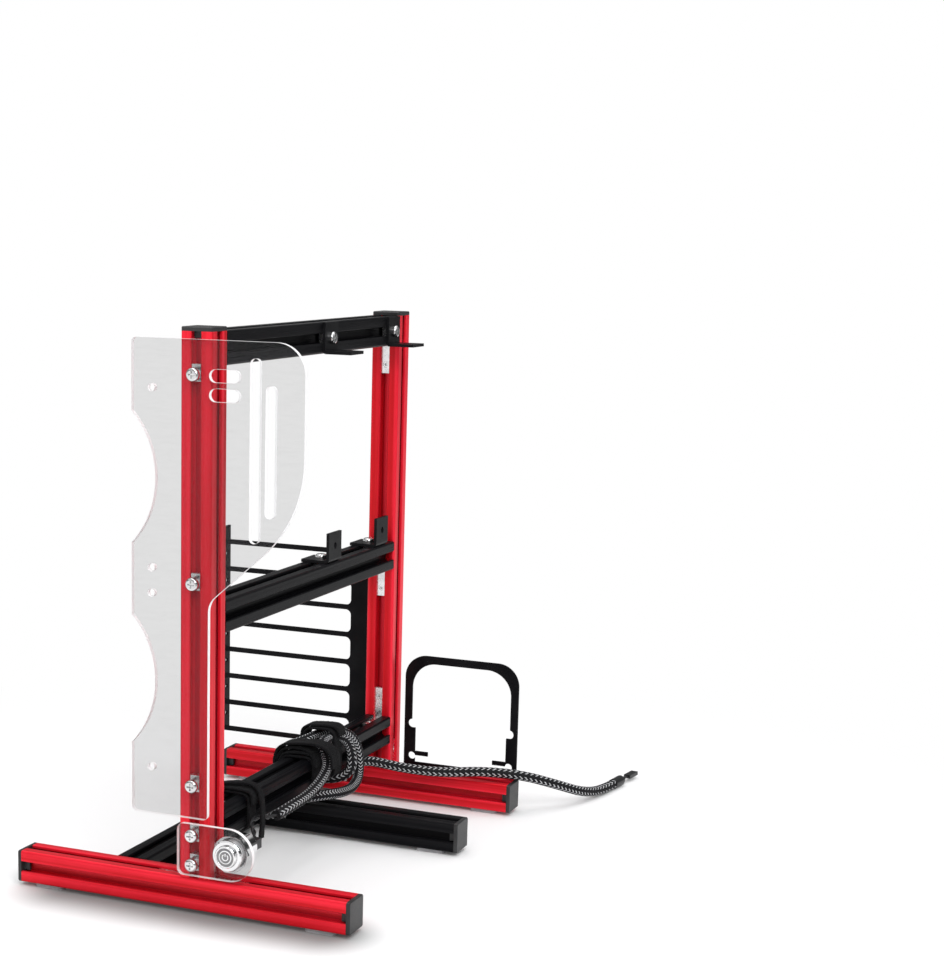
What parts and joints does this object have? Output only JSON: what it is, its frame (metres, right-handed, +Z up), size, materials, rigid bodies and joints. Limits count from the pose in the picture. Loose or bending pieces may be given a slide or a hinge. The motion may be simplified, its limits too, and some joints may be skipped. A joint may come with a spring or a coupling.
{
  "type": "open air test bench",
  "caption": "Open frame of slotted aluminium bars that carries a computer board upright, with a clear fan plate, card slots, a supply bracket and a push button.",
  "frame": {"origin": "middle of the footprint on the floor, with the lead left out", "axes": "+X along the crossbars from the fan plate's side to the card slots' side, +Y to the rear where the board hangs, +Z up"},
  "size_m": [0.4305, 0.2912, 0.349],
  "materials": {
    "red_anodised": "satin red anodised",
    "black_anodised": "satin black anodised",
    "cap_plastic": "fine textured",
    "pad_rubber": "translucent grey",
    "clear_acrylic": "clear, polished edges",
    "screw_steel": "nickel plated",
    "zinc_steel": "zinc plated",
    "black_sheet": "fine matt powder coat",
    "black_bracket": "satin black",
    "button_metal": "bright",
    "button_fixing": "nickel plated",
    "terminal_metal": "tinned",
    "standoff_brass": "turned",
    "tie_fabric": "hook-and-loop",
    "braid": "black braid with white threads",
    "wire": "satin",
    "plug_plastic": "satin black"
  },
  "bodies": {
    "frame": {"board_standoff_nuts": "zinc_steel", "board_standoffs": "standoff_brass", "bottom_crossbar": "black_anodised", "bracket_nuts": "zinc_steel", "bracket_screws": "screw_steel", "button_housing": "button_metal", "button_nut": "button_fixing", "button_terminals": "terminal_metal", "button_washer": "button_fixing", "crossbar_slot_brackets": "zinc_steel", "fan_plate": "clear_acrylic", "fan_plate_nuts": "zinc_steel", "fan_plate_screws": "screw_steel", "far_foot": "red_anodised", "far_foot_front_cap": "cap_plastic", "far_foot_rear_cap": "cap_plastic", "far_tie": "tie_fabric", "far_upright": "red_anodised", "far_upright_cap": "cap_plastic", "floor_crossbar": "black_anodised", "floor_slot_brackets": "zinc_steel", "foot_pads": "pad_rubber", "lead_heat_shrink": "plug_plastic", "lead_plug": "plug_plastic", "lead_tail_wires": "wire", "mid_foot": "black_anodised", "mid_foot_front_cap": "cap_plastic", "middle_bracket_far": "black_bracket", "middle_bracket_near": "black_bracket", "middle_crossbar": "black_anodised", "middle_tie": "tie_fabric", "near_foot": "red_anodised", "near_foot_front_cap": "cap_plastic", "near_foot_rear_cap": "cap_plastic", "near_tie": "tie_fabric", "near_upright": "red_anodised", "near_upright_cap": "cap_plastic", "slot_bracket_grub_screws": "zinc_steel", "slot_ladder": "black_sheet", "slot_ladder_nuts": "zinc_steel", "slot_ladder_screws": "screw_steel", "supply_bracket": "black_sheet", "supply_bracket_nuts": "zinc_steel", "supply_bracket_screws": "screw_steel", "switch_connector": "plug_plastic", "switch_lead": "braid", "switch_plate": "clear_acrylic", "switch_plate_nuts": "zinc_steel", "switch_plate_screws": "screw_steel", "switch_wires": "wire", "top_bracket_far": "black_bracket", "top_bracket_near": "black_bracket", "top_crossbar": "black_anodised", "upright_slot_brackets": "zinc_steel"},
    "button": {"button_cap": "button_metal"}
  },
  "joints": [
    {"name": "power_button_press", "type": "slide", "parent": "frame", "child": "button", "axis": [1, 0, 0], "range_m": [0, 0.0015], "stiffness_N_per_m": 2000}
  ]
}
